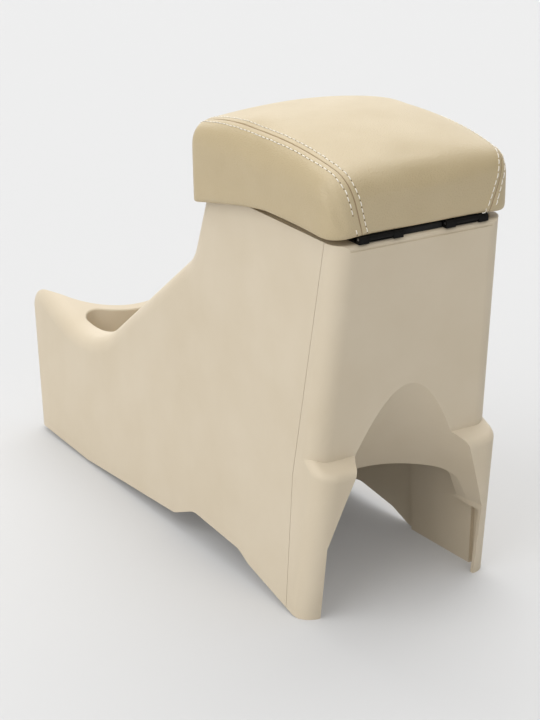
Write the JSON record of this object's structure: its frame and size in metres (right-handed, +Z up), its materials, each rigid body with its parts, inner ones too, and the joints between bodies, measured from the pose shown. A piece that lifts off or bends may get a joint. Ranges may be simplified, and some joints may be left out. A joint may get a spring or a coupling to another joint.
{
  "type": "car centre armrest",
  "caption": "Free-standing moulded car centre console with a front pocket, rear arch and hollow front, and a padded, stitched armrest lid hinged over a storage bin.",
  "frame": {"origin": "on the floor under the middle of the armrest's length and width", "axes": "+X to the car's right, +Y to the car's front (the pocket end), +Z up"},
  "size_m": [0.1573, 0.4432, 0.3244],
  "materials": {
    "shell_plastic": "fine-grained warm beige moulding",
    "bin_plastic": "plain beige moulding",
    "board_fibre": "bare hardboard",
    "pad_foam": "cut foam, hidden under the cover",
    "cover_vinyl": "soft grained beige vinyl",
    "hinge_steel": "black coated steel",
    "pin_steel": "drawn wire",
    "screw_steel": "black zinc",
    "bumper_rubber": "moulded rubber"
  },
  "bodies": {
    "console": {"front_shell": "shell_plastic", "rear_shell": "shell_plastic", "storage_bin": "bin_plastic", "lid_bumpers": "bumper_rubber", "left_hinge_body_leaf": "hinge_steel", "right_hinge_body_leaf": "hinge_steel", "left_hinge_pin": "pin_steel", "right_hinge_pin": "pin_steel", "body_leaf_screws": "screw_steel"},
    "lid": {"lid_board": "board_fibre", "foam_pad": "pad_foam", "cover_centre_panel": "cover_vinyl", "cover_left_panel": "cover_vinyl", "cover_right_panel": "cover_vinyl", "left_hinge_lid_leaf": "hinge_steel", "right_hinge_lid_leaf": "hinge_steel", "lid_leaf_screws": "screw_steel"}
  },
  "joints": [
    {"name": "lid_hinge", "type": "hinge", "parent": "console", "child": "lid", "pos_m": [0, -0.2179, 0.2686], "axis": [1, 0, 0], "range_deg": [0, 88]}
  ]
}
